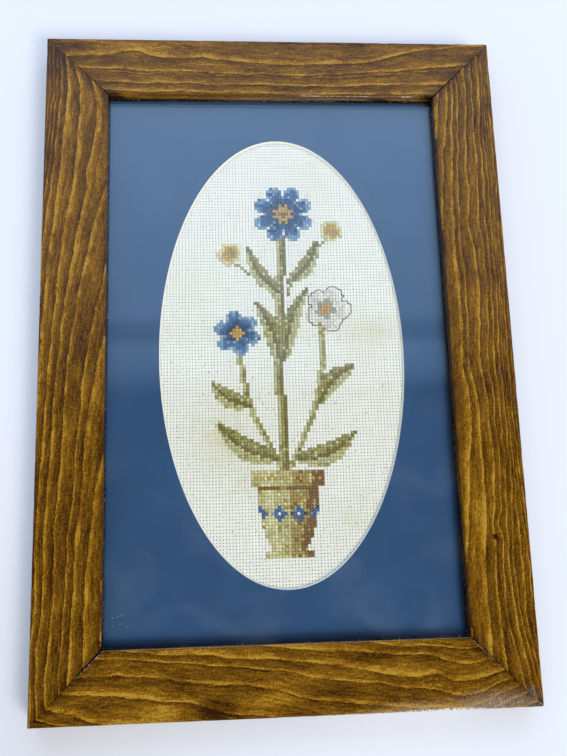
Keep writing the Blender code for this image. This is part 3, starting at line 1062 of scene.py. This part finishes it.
def hole_lines(origin, low, high, pitch, hole):
    """Lines on both sides of each row of holes between two places."""
    first = int(np.ceil((low + hole - origin) / pitch))
    last = int(np.floor((high - hole - origin) / pitch))
    centres = [origin + number * pitch for number in range(first, last + 1)]
    return [centre + side * hole / 2 for centre in centres for side in (-1, 1)]


def weave_cloth(settings, stitch_settings, mat_settings):
    """The cloth: blocks that stand up like small pillows, and a pit at each hole, closed flat behind."""
    low, high = lowest("evenweave_cloth"), highest("evenweave_cloth")
    origin = lattice_origin(stitch_settings, settings)
    pitch, hole = settings.pitch, settings.hole
    half_x = mat_settings.window_width / 2 + MARGIN_BLOCKS * pitch
    half_y = mat_settings.window_height / 2 + MARGIN_BLOCKS * pitch
    left, right = mat_settings.window_x - half_x, mat_settings.window_x + half_x
    bottom, top = mat_settings.window_y - half_y, mat_settings.window_y + half_y
    xs = [low.x, *hole_lines(origin.x, left, right, pitch, hole), high.x]
    ys = [low.y, *hole_lines(origin.y, bottom, top, pitch, hole), high.y]
    face = cloth_face()
    columns, rows = len(xs), len(ys)
    points, lattice, stain, faces = [], [], [], []

    def keep(x, y, z):
        """Adds a point, pulled off square with the weave, or left where it is on the cloth's edge."""
        inside = left < x < right and bottom < y < top
        points.append((*drift(x, y), z) if inside else (x, y, z))
        lattice.append(((x - origin.x) / pitch + 0.5, (y - origin.y) / pitch + 0.5, 0.0))
        stain.append(stain_at(x, y))
        return len(points) - 1

    for row, y in enumerate(ys):
        for column, x in enumerate(xs):
            inside = 0 < row < rows - 1 and 0 < column < columns - 1
            keep(x, y, face + rise(x, y) if inside else face)
    for row in range(rows - 1):
        for column in range(columns - 1):
            first, above = row * columns + column, (row + 1) * columns + column
            corners = (first, first + 1, above + 1, above)
            border = column in (0, columns - 2) or row in (0, rows - 2)
            # Odd lines have a hole between them, even lines a block, and an odd and an even one a bare thread
            if border or column % 2 != row % 2:
                faces.append(corners)
                continue
            x, y = (xs[column] + xs[column + 1]) / 2, (ys[row] + ys[row + 1]) / 2
            middle = keep(x, y, face - HOLE_DEPTH if column % 2 else face + PILLOW + rise(x, y))
            faces += [(corners[side], corners[(side + 1) % 4], middle) for side in range(4)]
    # The back: the border again at the cloth's underside, closed by one flat face
    border = list(range(columns))
    border += [row * columns + columns - 1 for row in range(1, rows)]
    border += [(rows - 1) * columns + column for column in range(columns - 2, -1, -1)]
    border += [row * columns for row in range(rows - 2, 0, -1)]
    under = [keep(*points[place][:2], low.z) for place in border]
    for place, here in enumerate(border):
        beside = (place + 1) % len(border)
        faces.append((here, under[place], under[beside], border[beside]))
    faces.append(tuple(reversed(under)))
    cloth = new_piece("aida_cloth", points, faces, evenweave_cotton(settings, origin), radians(60))
    store(cloth, "lattice", lattice, "FLOAT_VECTOR")
    store(cloth, "stain", stain)
    stand_for(cloth, "evenweave_cloth")


class PICTURE_OT_weave_cloth(bpy.types.Operator):
    """Weaves the cotton cloth with its blocks and holes"""

    bl_idname = "picture.weave_cloth"
    bl_label = "Weave cloth"

    def execute(self, context):
        scene = context.scene
        weave_cloth(scene.picture_cloth, scene.picture_stitches, scene.picture_mat)
        return {"FINISHED"}


# The chart: a flower pot such as samplers have, counted in stitches from the middle of its foot

Stem = namedtuple("Stem", "foot tip sway width")
Leaf = namedtuple("Leaf", "foot tip width curl")
Flower = namedtuple("Flower", "centre radius petals turn rings")

STEMS = (
    Stem((-1, 27), (-14, 66), -3.0, 2),
    Stem((1, 27), (13, 74), 4.0, 2),
    Stem((0, 80), (-17, 96), 2.0, 1),
    Stem((2, 84), (17, 104), -2.0, 1),
    Stem((0, 27), (1, 104), -1.6, 3),
)
STEM_FLOSSES = {1: ("olive",), 2: ("reed", "olive"), 3: ("reed", "olive", "moss")}
LEAVES = (
    Leaf((-3, 30), (-22, 42), 6.5, 2.5),
    Leaf((3, 30), (22, 38), 6.5, -2.5),
    Leaf((11, 48), (23, 60), 5.5, 2.0),
    Leaf((-11, 47), (-24, 55), 4.8, 1.5),
    Leaf((-1, 60), (-9, 82), 5.0, -1.5),
    Leaf((0, 62), (8, 86), 5.0, 1.5),
    Leaf((0, 84), (-11, 100), 4.4, 2.0),
    Leaf((2, 88), (12, 103), 4.4, -2.0),
)
MIDRIB = 0.55
LEAF_TIP = 0.35
# A flower's flosses from its middle out, each with the share of the way that it reaches
BLUE_PETALS = ((0.2, "bark"), (0.36, "gold"), (0.55, "navy"), (0.8, "blue"), (1.0, "sky"))
SMALL_BLUE_PETALS = ((0.3, "gold"), (0.5, "navy"), (0.75, "blue"), (1.0, "sky"))
YELLOW_PETALS = ((0.35, "clay"), (0.7, "gold"), (1.0, "straw"))
WHITE_PETALS = ((0.33, "gold"), (0.5, "pewter"), (1.0, "cream"))
FLOWERS = (
    Flower((-15, 71), 7.4, 6, 0.3, SMALL_BLUE_PETALS),
    Flower((14, 79), 7.0, 5, 0.1, WHITE_PETALS),
    Flower((1, 112), 10.4, 8, pi / 8, BLUE_PETALS),
    Flower((-17, 98), 4.2, 5, 0.5, YELLOW_PETALS),
    Flower((17, 106), 4.0, 5, 0.2, YELLOW_PETALS),
)
PETAL_CUT = 0.34
POT_FOOT_ROWS = 2
POT_NECK_ROW = 4
POT_LIP_ROW = 21
POT_BAND_ROW = 13
POT_BEAD_ROW = 24
POT_ROWS = 27
# Flosses of one colour, from dark to light, and the share of stitches that are worked in the next shade
FAMILIES = (("moss", "olive", "reed"), ("bark", "clay", "sand", "straw"), ("navy", "blue", "sky", "mist"))
MINGLED = 0.22


def chart_stem(chart, stem):
    """A curved stalk, light on its left side and dark on its right. Each row meets the one below it."""
    below = stem.foot[0] - stem.width // 2
    for row in range(stem.foot[1], stem.tip[1] + 1):
        share = (row - stem.foot[1]) / (stem.tip[1] - stem.foot[1])
        middle = stem.foot[0] + (stem.tip[0] - stem.foot[0]) * share + stem.sway * sin(pi * share)
        left = round(middle - stem.width / 2)
        for column in range(min(left, below + 1), max(left + stem.width, below)):
            place = min(max(column - left, 0), stem.width - 1)
            chart[(column, row)] = STEM_FLOSSES[stem.width][place]
        below = left


def cells_around(reach):
    """Every column and row up to a reach from the middle."""
    return [(column, row) for column in range(-reach, reach + 1) for row in range(-reach, reach + 1)]


def chart_leaf(chart, leaf):
    """A pointed leaf that bends to one side, light above its midrib and darker below."""
    way = Vector(leaf.tip) - Vector(leaf.foot)
    along = way.normalized()
    across = Vector((-along.y, along.x))
    above, below = ("olive", "reed") if across.y > 0 else ("reed", "olive")
    for column, row in cells_around(int(way.length) + 2):
        cell = Vector((column, row))
        share = cell.dot(along) / way.length
        if not 0 <= share <= 1:
            continue
        side = cell.dot(across) - leaf.curl * sin(pi * share)
        if abs(side) <= leaf.width / 2 * sin(pi * share**0.8) ** 0.8 + LEAF_TIP:
            floss = "moss" if abs(side) < MIDRIB else (above if side > 0 else below)
            chart[(leaf.foot[0] + column, leaf.foot[1] + row)] = floss


def petal_edge(flower, angle):
    """How far a flower reaches at an angle."""
    lobe = abs(cos((angle + flower.turn) * flower.petals / 2))
    return flower.radius * (1 - PETAL_CUT + PETAL_CUT * lobe**0.6)


def chart_flower(chart, flower):
    """A round flower in rings of floss, with its edge cut into petals."""
    for column, row in cells_around(int(flower.radius) + 1):
        share = hypot(column, row) / petal_edge(flower, atan2(row, column))
        if share <= 1:
            floss = next(floss for limit, floss in flower.rings if share <= limit)
            chart[(flower.centre[0] + column, flower.centre[1] + row)] = floss


def pot_half_width(row):
    """Half the pot's width in stitches: a foot, a body that swells upwards, a groove and a rim."""
    if row < POT_FOOT_ROWS:
        return 7.4
    if row < POT_NECK_ROW:
        return 5.4
    if row < POT_LIP_ROW:
        return 6.4 + 3.4 * sin(pi / 2 * (row - POT_NECK_ROW) / 16)
    return 9.4 if row == POT_LIP_ROW else 11.4


def chart_pot(chart):
    """A clay pot, lit from its left, with a band of blue diamonds and a beaded rim."""
    for row in range(POT_ROWS):
        half = pot_half_width(row)
        for column in range(-floor(half), floor(half) + 1):
            share = column / half
            floss = "sand" if share < 0.1 else "clay" if share < 0.62 else "bark"
            if -0.75 < share < -0.45:
                floss = "straw"
            if row == POT_LIP_ROW:
                floss = "bark"
            diamond = abs(column % 6 - 3) + abs(row - POT_BAND_ROW)
            if diamond <= 2:
                floss = "blue" if diamond else "cream"
            if row == POT_BEAD_ROW and column % 2 == 0:
                floss = "gold"
            chart[(column, row)] = floss


def mingle(chart):
    """Works some stitches in the next darker or lighter floss, which breaks up the edges of the shading."""
    rng = random.Random(3)
    for cell in sorted(chart):
        for family in FAMILIES:
            if chart[cell] in family and rng.random() < MINGLED:
                place = family.index(chart[cell]) + rng.choice((-1, 1))
                chart[cell] = family[min(max(place, 0), len(family) - 1)]


def design_chart():
    """The whole design: the floss of each stitch by its column and row."""
    chart = {}
    for draw, motifs in ((chart_stem, STEMS), (chart_leaf, LEAVES), (chart_flower, FLOWERS)):
        for motif in motifs:
            draw(chart, motif)
    chart_pot(chart)
    mingle(chart)
    return chart


# Stitches

STRAND_SIDES = 5
LEG_SHARES = np.array((0.0, 0.14, 0.36, 0.64, 0.86, 1.0))
THREAD_SINK = 0.26 * MM
LEG_RISE = 0.30 * MM
CROSSING_RISE = 0.20 * MM
CROSSING_REACH = 0.22
STRAND_SLIP = 0.05 * MM
STRAND_LIFT = 0.03 * MM
# A strand's distance from its leg's middle, its half width and its half thickness, as shares of its width at
# the holes, and what the top of the arch adds
STRAND_APART = (0.16, 0.34)
STRAND_WIDE = (0.24, 0.30)
STRAND_THICK = (0.18, 0.17)
UPPER_LEG = 1.2
OUTLINE_STEPS = 72
OUTLINE_OFF = 0.55
OUTLINE_LIFT = 0.25 * MM
OUTLINE_STRAND = 0.5
OUTLINE_SEED = 99


def strand_tubes(starts, ends, height_of_face, strand, over, seed):
    """Strands of floss between two lists of points, each an arch that dives into the cloth at both ends.

    Each leg of a stitch has two strands side by side. Returns points and each point's lay and dive.
    """
    rng = np.random.default_rng(seed)
    starts, ends = np.array(starts), np.array(ends)
    legs, rings = len(starts), len(LEG_SHARES)
    way = ends - starts
    length = np.linalg.norm(way, axis=1, keepdims=True)
    along = way / length
    across = np.stack([-along[:, 1], along[:, 0]], axis=1)
    from_middle = np.abs(2 * LEG_SHARES - 1)
    arch = 1 - from_middle**3
    crossing = np.exp(-(((LEG_SHARES - 0.5) / CROSSING_REACH) ** 2))
    mood = rng.uniform(0, 1, legs)
    middle = height_of_face - THREAD_SINK + (THREAD_SINK + LEG_RISE) * arch + over * CROSSING_RISE * crossing
    points, lays = [], []
    for side in (-1, 1):
        slip = rng.normal(0, STRAND_SLIP, (legs, 1))
        apart = side * strand * (STRAND_APART[0] + STRAND_APART[1] * arch) + slip * arch
        lift = rng.normal(0, STRAND_LIFT, (legs, 1)) * arch
        wide = strand * (STRAND_WIDE[0] + STRAND_WIDE[1] * arch)
        thick = strand * (STRAND_THICK[0] + STRAND_THICK[1] * arch)
        for corner in range(STRAND_SIDES):
            angle = 2 * pi * (corner + 0.25) / STRAND_SIDES
            sideways = apart + wide * cos(angle)
            x, y = (
                starts[:, [axis]] + way[:, [axis]] * LEG_SHARES + across[:, [axis]] * sideways
                for axis in (0, 1)
            )
            points.append(np.stack([x, y, middle + lift + thick * sin(angle)], axis=2))
            around = np.full((legs, rings), angle)
            lays.append(np.stack([length / MM * LEG_SHARES, around, np.tile(mood[:, None], rings)], axis=2))
    # Ordered by leg, strand, ring and corner
    points, lays = (
        np.array(values).reshape(2, STRAND_SIDES, legs, rings, 3).transpose(2, 0, 3, 1, 4).reshape(-1, 3)
        for values in (points, lays)
    )
    return points, lays, np.tile(np.repeat(from_middle**2, STRAND_SIDES), legs * 2)


def tube_faces(tubes):
    """Faces of closed tubes whose points lie in rings of STRAND_SIDES, one ring for each of LEG_SHARES."""
    sides, rings = STRAND_SIDES, len(LEG_SHARES)
    one = [
        (ring * sides + side, ring * sides + (side + 1) % sides,
         (ring + 1) * sides + (side + 1) % sides, (ring + 1) * sides + side)
        for ring in range(rings - 1)
        for side in range(sides)
    ]
    one += [tuple(reversed(range(sides))), tuple(range((rings - 1) * sides, rings * sides))]
    return [tuple(tube * sides * rings + place for place in face) for tube in range(tubes) for face in one]


def lay_floss(name, material, layers):
    """One piece of floss from layers of legs, each layer as strand_tubes takes it."""
    points, lays, dives = map(np.concatenate, zip(*(strand_tubes(*layer) for layer in layers)))
    faces = tube_faces(len(points) // (STRAND_SIDES * len(LEG_SHARES)))
    piece = new_piece(name, points, faces, material, radians(80))
    store(piece, "lay", lays, "FLOAT_VECTOR")
    store(piece, "dive", dives)
    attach(piece, BODY)


def hole_place(column, row, origin, pitch):
    """Where the hole at a stitch's lower right corner lies on the pulled cloth."""
    return drift(origin.x + column * pitch, origin.y + row * pitch)


class PICTURE_OT_stitch_design(bpy.types.Operator):
    """Works the design in cross-stitch, one piece for each floss"""

    bl_idname = "picture.stitch_design"
    bl_label = "Stitch design"

    def execute(self, context):
        settings, cloth = context.scene.picture_stitches, context.scene.picture_cloth
        place = partial(hole_place, origin=lattice_origin(settings, cloth), pitch=cloth.pitch)
        face, strand = cloth_face(), settings.strand
        by_floss = {}
        for cell, floss in sorted(design_chart().items()):
            by_floss.setdefault(floss, []).append(cell)
        for number, (floss, cells) in enumerate(sorted(by_floss.items())):
            # An under leg that leans right and an upper leg that leans left over it
            layers = []
            for over, (foot, tip) in enumerate(((-1, 0), (0, -1))):
                starts = [place(column + foot, row) for column, row in cells]
                ends = [place(column + tip, row + 1) for column, row in cells]
                layers.append((starts, ends, face, strand, over * UPPER_LEG, 2 * number + over))
            lay_floss("stitches_" + floss, stranded_cotton(floss, getattr(settings, floss)), layers)
        return {"FINISHED"}


def outline_holes(flower):
    """The holes that an outline round a flower goes through, in order."""
    holes = []
    for step in range(OUTLINE_STEPS):
        angle = 2 * pi * step / OUTLINE_STEPS
        reach = petal_edge(flower, angle) + OUTLINE_OFF
        column = round(flower.centre[0] + reach * cos(angle) + 0.5)
        row = round(flower.centre[1] + reach * sin(angle) + 0.5)
        if not holes or holes[-1] != (column, row):
            holes.append((column, row))
    return holes


class PICTURE_OT_backstitch(bpy.types.Operator):
    """Outlines the white flowers in backstitch, one strand thick, from hole to hole"""

    bl_idname = "picture.backstitch"
    bl_label = "Backstitch outlines"

    def execute(self, context):
        settings, cloth = context.scene.picture_stitches, context.scene.picture_cloth
        place = partial(hole_place, origin=lattice_origin(settings, cloth), pitch=cloth.pitch)
        starts, ends = [], []
        for flower in FLOWERS:
            holes = outline_holes(flower) if flower.rings is WHITE_PETALS else []
            for hole, after in zip(holes, holes[1:] + holes[:1]):
                if hole != after:
                    starts.append(place(*hole))
                    ends.append(place(*after))
        height, strand = cloth_face() + OUTLINE_LIFT, settings.strand * OUTLINE_STRAND
        layer = (starts, ends, height, strand, 0.0, OUTLINE_SEED)
        lay_floss("backstitch_outline", stranded_cotton("outline", settings.outline), (layer,))
        return {"FINISHED"}


class PICTURE_OT_declare_cloth(bpy.types.Operator):
    """Finishes without taking any step"""

    bl_idname = "picture.declare_cloth"
    bl_label = "Declare cloth"

    def execute(self, context):
        return {"FINISHED"}


# Crumbs

# A scatter of crumbs: the node that they lie on, its middle and half reach, how many, and their size
Scatter = namedtuple("Scatter", "node x y reach_x reach_y count size")
LIP_X = SIGHT_X - 0.35 * MM
LIP_Y = SIGHT_Y - 0.35 * MM
SCATTERS = (
    Scatter("glass_pane", -LIP_X, 0.0, 0.3 * MM, SIGHT_Y, 110, 0.16 * MM),
    Scatter("glass_pane", LIP_X, 0.0, 0.3 * MM, SIGHT_Y, 90, 0.15 * MM),
    Scatter("glass_pane", 0.0, LIP_Y, SIGHT_X, 0.4 * MM, 90, 0.18 * MM),
    Scatter("glass_pane", 0.0, LIP_Y, 40 * MM, 0.4 * MM, 60, 0.24 * MM),
    Scatter("glass_pane", 0.0, -LIP_Y, SIGHT_X, 0.3 * MM, 40, 0.14 * MM),
    Scatter("mat_board", -93 * MM, -150 * MM, 4 * MM, 5 * MM, 14, 0.22 * MM),
    Scatter("mat_board", -88 * MM, -156 * MM, 14 * MM, 6 * MM, 22, 0.13 * MM),
    Scatter("mat_board", 90 * MM, -146 * MM, 9 * MM, 12 * MM, 40, 0.13 * MM),
    Scatter("mat_board", 0.0, 0.0, SIGHT_X, SIGHT_Y, 50, 0.11 * MM),
)
# The oval that crumbs on the mat stay out of: its middle's X, half its width and half its height
CLEAR_OVAL = (2 * MM, 73 * MM, 137 * MM)
CLEAR_SHARE = 1.02
CRUMB_SIZES = (0.4, 1.3)
CRUMB_ROUGHNESS = (0.75, 1.2)
CRUMB_FLATNESS = 0.6
CRUMB_BEDDING = 0.45


class PICTURE_OT_lay_crumbs(bpy.types.Operator):
    """Lays crumbs of old glue, sawdust and lint along the lips on the glass, and a few on the mat"""

    bl_idname = "picture.lay_crumbs"
    bl_label = "Lay crumbs"

    def execute(self, context):
        rng = np.random.default_rng(5)
        ball = bmesh.new()
        bmesh.ops.create_icosphere(ball, subdivisions=1, radius=1.0)
        ball_points = np.array([vertex.co for vertex in ball.verts])
        ball_faces = [[vertex.index for vertex in face.verts] for face in ball.faces]
        ball.free()
        middle_x, half_width, half_height = CLEAR_OVAL
        points, faces = [], []
        for scatter in SCATTERS:
            for crumb in range(scatter.count):
                x = scatter.x + rng.uniform(-1, 1) * scatter.reach_x
                y = scatter.y + rng.uniform(-1, 1) * scatter.reach_y
                radii = scatter.size * rng.uniform(*CRUMB_SIZES, 3)
                shape = ball_points * rng.uniform(*CRUMB_ROUGHNESS, (len(ball_points), 1)) * radii
                turn = rng.uniform(0, pi)
                off_middle = hypot((x - middle_x) / half_width, y / half_height)
                if scatter.node == "mat_board" and off_middle < CLEAR_SHARE:
                    continue
                lying = highest(scatter.node).z
                turned = np.stack(
                    [
                        shape[:, 0] * cos(turn) - shape[:, 1] * sin(turn) + x,
                        shape[:, 0] * sin(turn) + shape[:, 1] * cos(turn) + y,
                        shape[:, 2] * CRUMB_FLATNESS + lying + radii[2] * CRUMB_BEDDING,
                    ],
                    axis=1,
                )
                faces += [tuple(len(points) + place for place in face) for face in ball_faces]
                points += turned.tolist()
        made, add = new_material("glue_and_sawdust")
        dry = {"Base Color": linear("#CFC5AE"), "Roughness": 0.9, "Specular IOR Level": 0.2}
        add("OutputMaterial", (add("BsdfPrincipled", dry),))
        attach(new_piece("crumbs", points, faces, made), BODY)
        return {"FINISHED"}


# Stage

FLOOR_REACH = 4.0
FLOOR_DROP = -0.02 * MM
# The middle of a painted shadow on the table, off the frame's lower left corner
SHADOW_SPOT = (-0.33, -0.33, 0.0)
CEILING = 1.0
CARD_REACH = 2.5
# What the glass mirrors, as (distance towards the picture's top, brightness): a dark room, a low pane, a
# bar and a tall window that brightens upwards
MIRRORED = (
    (-2.5, 0.0), (0.18, 0.0), (0.204, 0.30), (0.268, 0.50), (0.272, 0.20), (0.292, 0.20), (0.298, 0.50),
    (0.53, 0.74), (0.74, 1.0), (2.5, 1.0),
)
WINDOW_RADIANCE = (1.08, 1.56, 2.22, 1.0)
# The rays that the card is hidden from: it only shows in the glass
UNSEEN = ("visible_camera", "visible_diffuse", "visible_shadow", "visible_transmission")
# Place, width and height of the two lights
WINDOW = ((0.0, 1.5, 1.3), 2.4, 1.4)
LAMP = ((2.1, -2.9, 3.7), 1.9, 1.9)


def area_light(name, place, width, height, power, colour):
    """A soft rectangular light that shines on the frame's origin, and that glass doesn't mirror."""
    data = bpy.data.lights.new(name, "AREA")
    data.shape = "RECTANGLE"
    data.size, data.size_y = width, height
    data.energy = power
    data.color = tuple(colour)[:3]
    made = bpy.data.objects.new(name, data)
    made.location = place
    made.rotation_euler = (-Vector(place)).to_track_quat("-Z", "Y").to_euler()
    made.visible_glossy = False
    bpy.context.scene.collection.objects.link(made)


def stage_square(name, reach, height, material, unseen=()):
    """A flat square of the stage, hidden from some kinds of rays."""
    corners = [(-reach, -reach, 0.0), (reach, -reach, 0.0), (reach, reach, 0.0), (-reach, reach, 0.0)]
    made = new_piece(name, corners, [(0, 1, 2, 3)], material)
    made.location.z = height
    for flag in unseen:
        setattr(made, flag, False)


def table_top(settings):
    """A plain white table top, lit a little from within but for a painted shadow at the lower left."""
    made, add = new_material("white_table_top")
    place = add("TexCoord").outputs["Object"]
    away = add("VectorMath", (place, SHADOW_SPOT), operation="DISTANCE").outputs["Value"]
    glow = add("MapRange", (away, 0.12, 0.36, 0.2, 0.9), interpolation_type="SMOOTHSTEP")
    lit = {"Emission Color": settings.floor_glow, "Emission Strength": glow}
    matt = {"Base Color": settings.floor, "Roughness": 0.7, "Specular IOR Level": 0.0}
    add("OutputMaterial", (add("BsdfPrincipled", {**matt, **lit}),))
    return made


def room_and_window():
    """What stands over the camera: a dark room, with a window beyond the picture's top."""
    made, add = new_material("room_and_window")
    up = add("SeparateXYZ", (add("TexCoord").outputs["Object"],)).outputs["Y"]
    share = add("MapRange", (up, -CARD_REACH, CARD_REACH))
    stops = [((y + CARD_REACH) / (2 * CARD_REACH), (bright, bright, bright, 1.0)) for y, bright in MIRRORED]
    glow = add("Emission", {"Color": WINDOW_RADIANCE, "Strength": add("ValToRGB", (share,), stops)})
    add("OutputMaterial", (glow,))
    return made


class PICTURE_OT_set_stage(bpy.types.Operator):
    """Sets the table, the lights and the camera"""

    bl_idname = "picture.set_stage"
    bl_label = "Set stage"

    def execute(self, context):
        scene = context.scene
        settings = scene.picture_stage
        data = bpy.data.cameras.new("camera")
        data.lens = settings.lens
        camera = bpy.data.objects.new("camera", data)
        camera.location = settings.camera_place
        camera.rotation_euler = settings.camera_turn
        scene.collection.objects.link(camera)
        scene.camera = camera
        scene.view_settings.view_transform = "Standard"
        world = bpy.data.worlds.new("studio")
        world.use_nodes = True
        world.cycles_visibility.glossy = False
        background = world.node_tree.nodes["Background"]
        background.inputs["Color"].default_value = settings.sky
        background.inputs["Strength"].default_value = settings.sky_strength
        scene.world = world
        stage_square("table_top", FLOOR_REACH, FLOOR_DROP, table_top(settings))
        stage_square("room_card", CARD_REACH, CEILING, room_and_window(), UNSEEN)
        area_light("window", *WINDOW, settings.window_power, settings.daylight)
        area_light("lamp", *LAMP, settings.lamp_power, settings.lamp)
        return {"FINISHED"}


class PICTURE_PT_panel(bpy.types.Panel):
    """The sidebar panel with the picture's settings and operators"""

    bl_idname = "PICTURE_PT_panel"
    bl_label = "Cross-stitch picture"
    bl_space_type = "VIEW_3D"
    bl_region_type = "UI"
    bl_category = "Picture"

    def draw(self, context):
        for group in SETTINGS:
            settings = getattr(context.scene, group)
            box = self.layout.box()
            for name in settings.bl_rna.properties.keys():
                if name not in ("rna_type", "name"):
                    box.prop(settings, name)
        for operator in OPERATORS:
            self.layout.operator(operator.bl_idname)


OPERATORS = (
    PICTURE_OT_set_stage,
    PICTURE_OT_dress_rails,
    PICTURE_OT_set_glass,
    PICTURE_OT_cut_mat,
    PICTURE_OT_weave_cloth,
    PICTURE_OT_stitch_design,
    PICTURE_OT_backstitch,
    PICTURE_OT_declare_cloth,
    PICTURE_OT_lay_crumbs,
    PICTURE_OT_finish_board,
)
SETTINGS = {
    "picture_rails": RailSettings,
    "picture_mat": MatSettings,
    "picture_cloth": ClothSettings,
    "picture_stitches": StitchSettings,
    "picture_stage": StageSettings,
}


def register():
    for name, group in SETTINGS.items():
        bpy.utils.register_class(group)
        setattr(bpy.types.Scene, name, PointerProperty(type=group))
    for made in (*OPERATORS, PICTURE_PT_panel):
        bpy.utils.register_class(made)


def unregister():
    for made in reversed((*OPERATORS, PICTURE_PT_panel)):
        bpy.utils.unregister_class(made)
    for name, group in SETTINGS.items():
        delattr(bpy.types.Scene, name)
        bpy.utils.unregister_class(group)


def main():
    register()
    bpy.ops.picture.set_stage()
    bpy.ops.picture.dress_rails()
    bpy.ops.picture.set_glass()
    bpy.ops.picture.cut_mat()
    bpy.ops.picture.weave_cloth()
    bpy.ops.picture.stitch_design()
    bpy.ops.picture.backstitch()
    bpy.ops.picture.declare_cloth()
    bpy.ops.picture.lay_crumbs()
    bpy.ops.picture.finish_board()


if __name__ == "__main__":
    main()
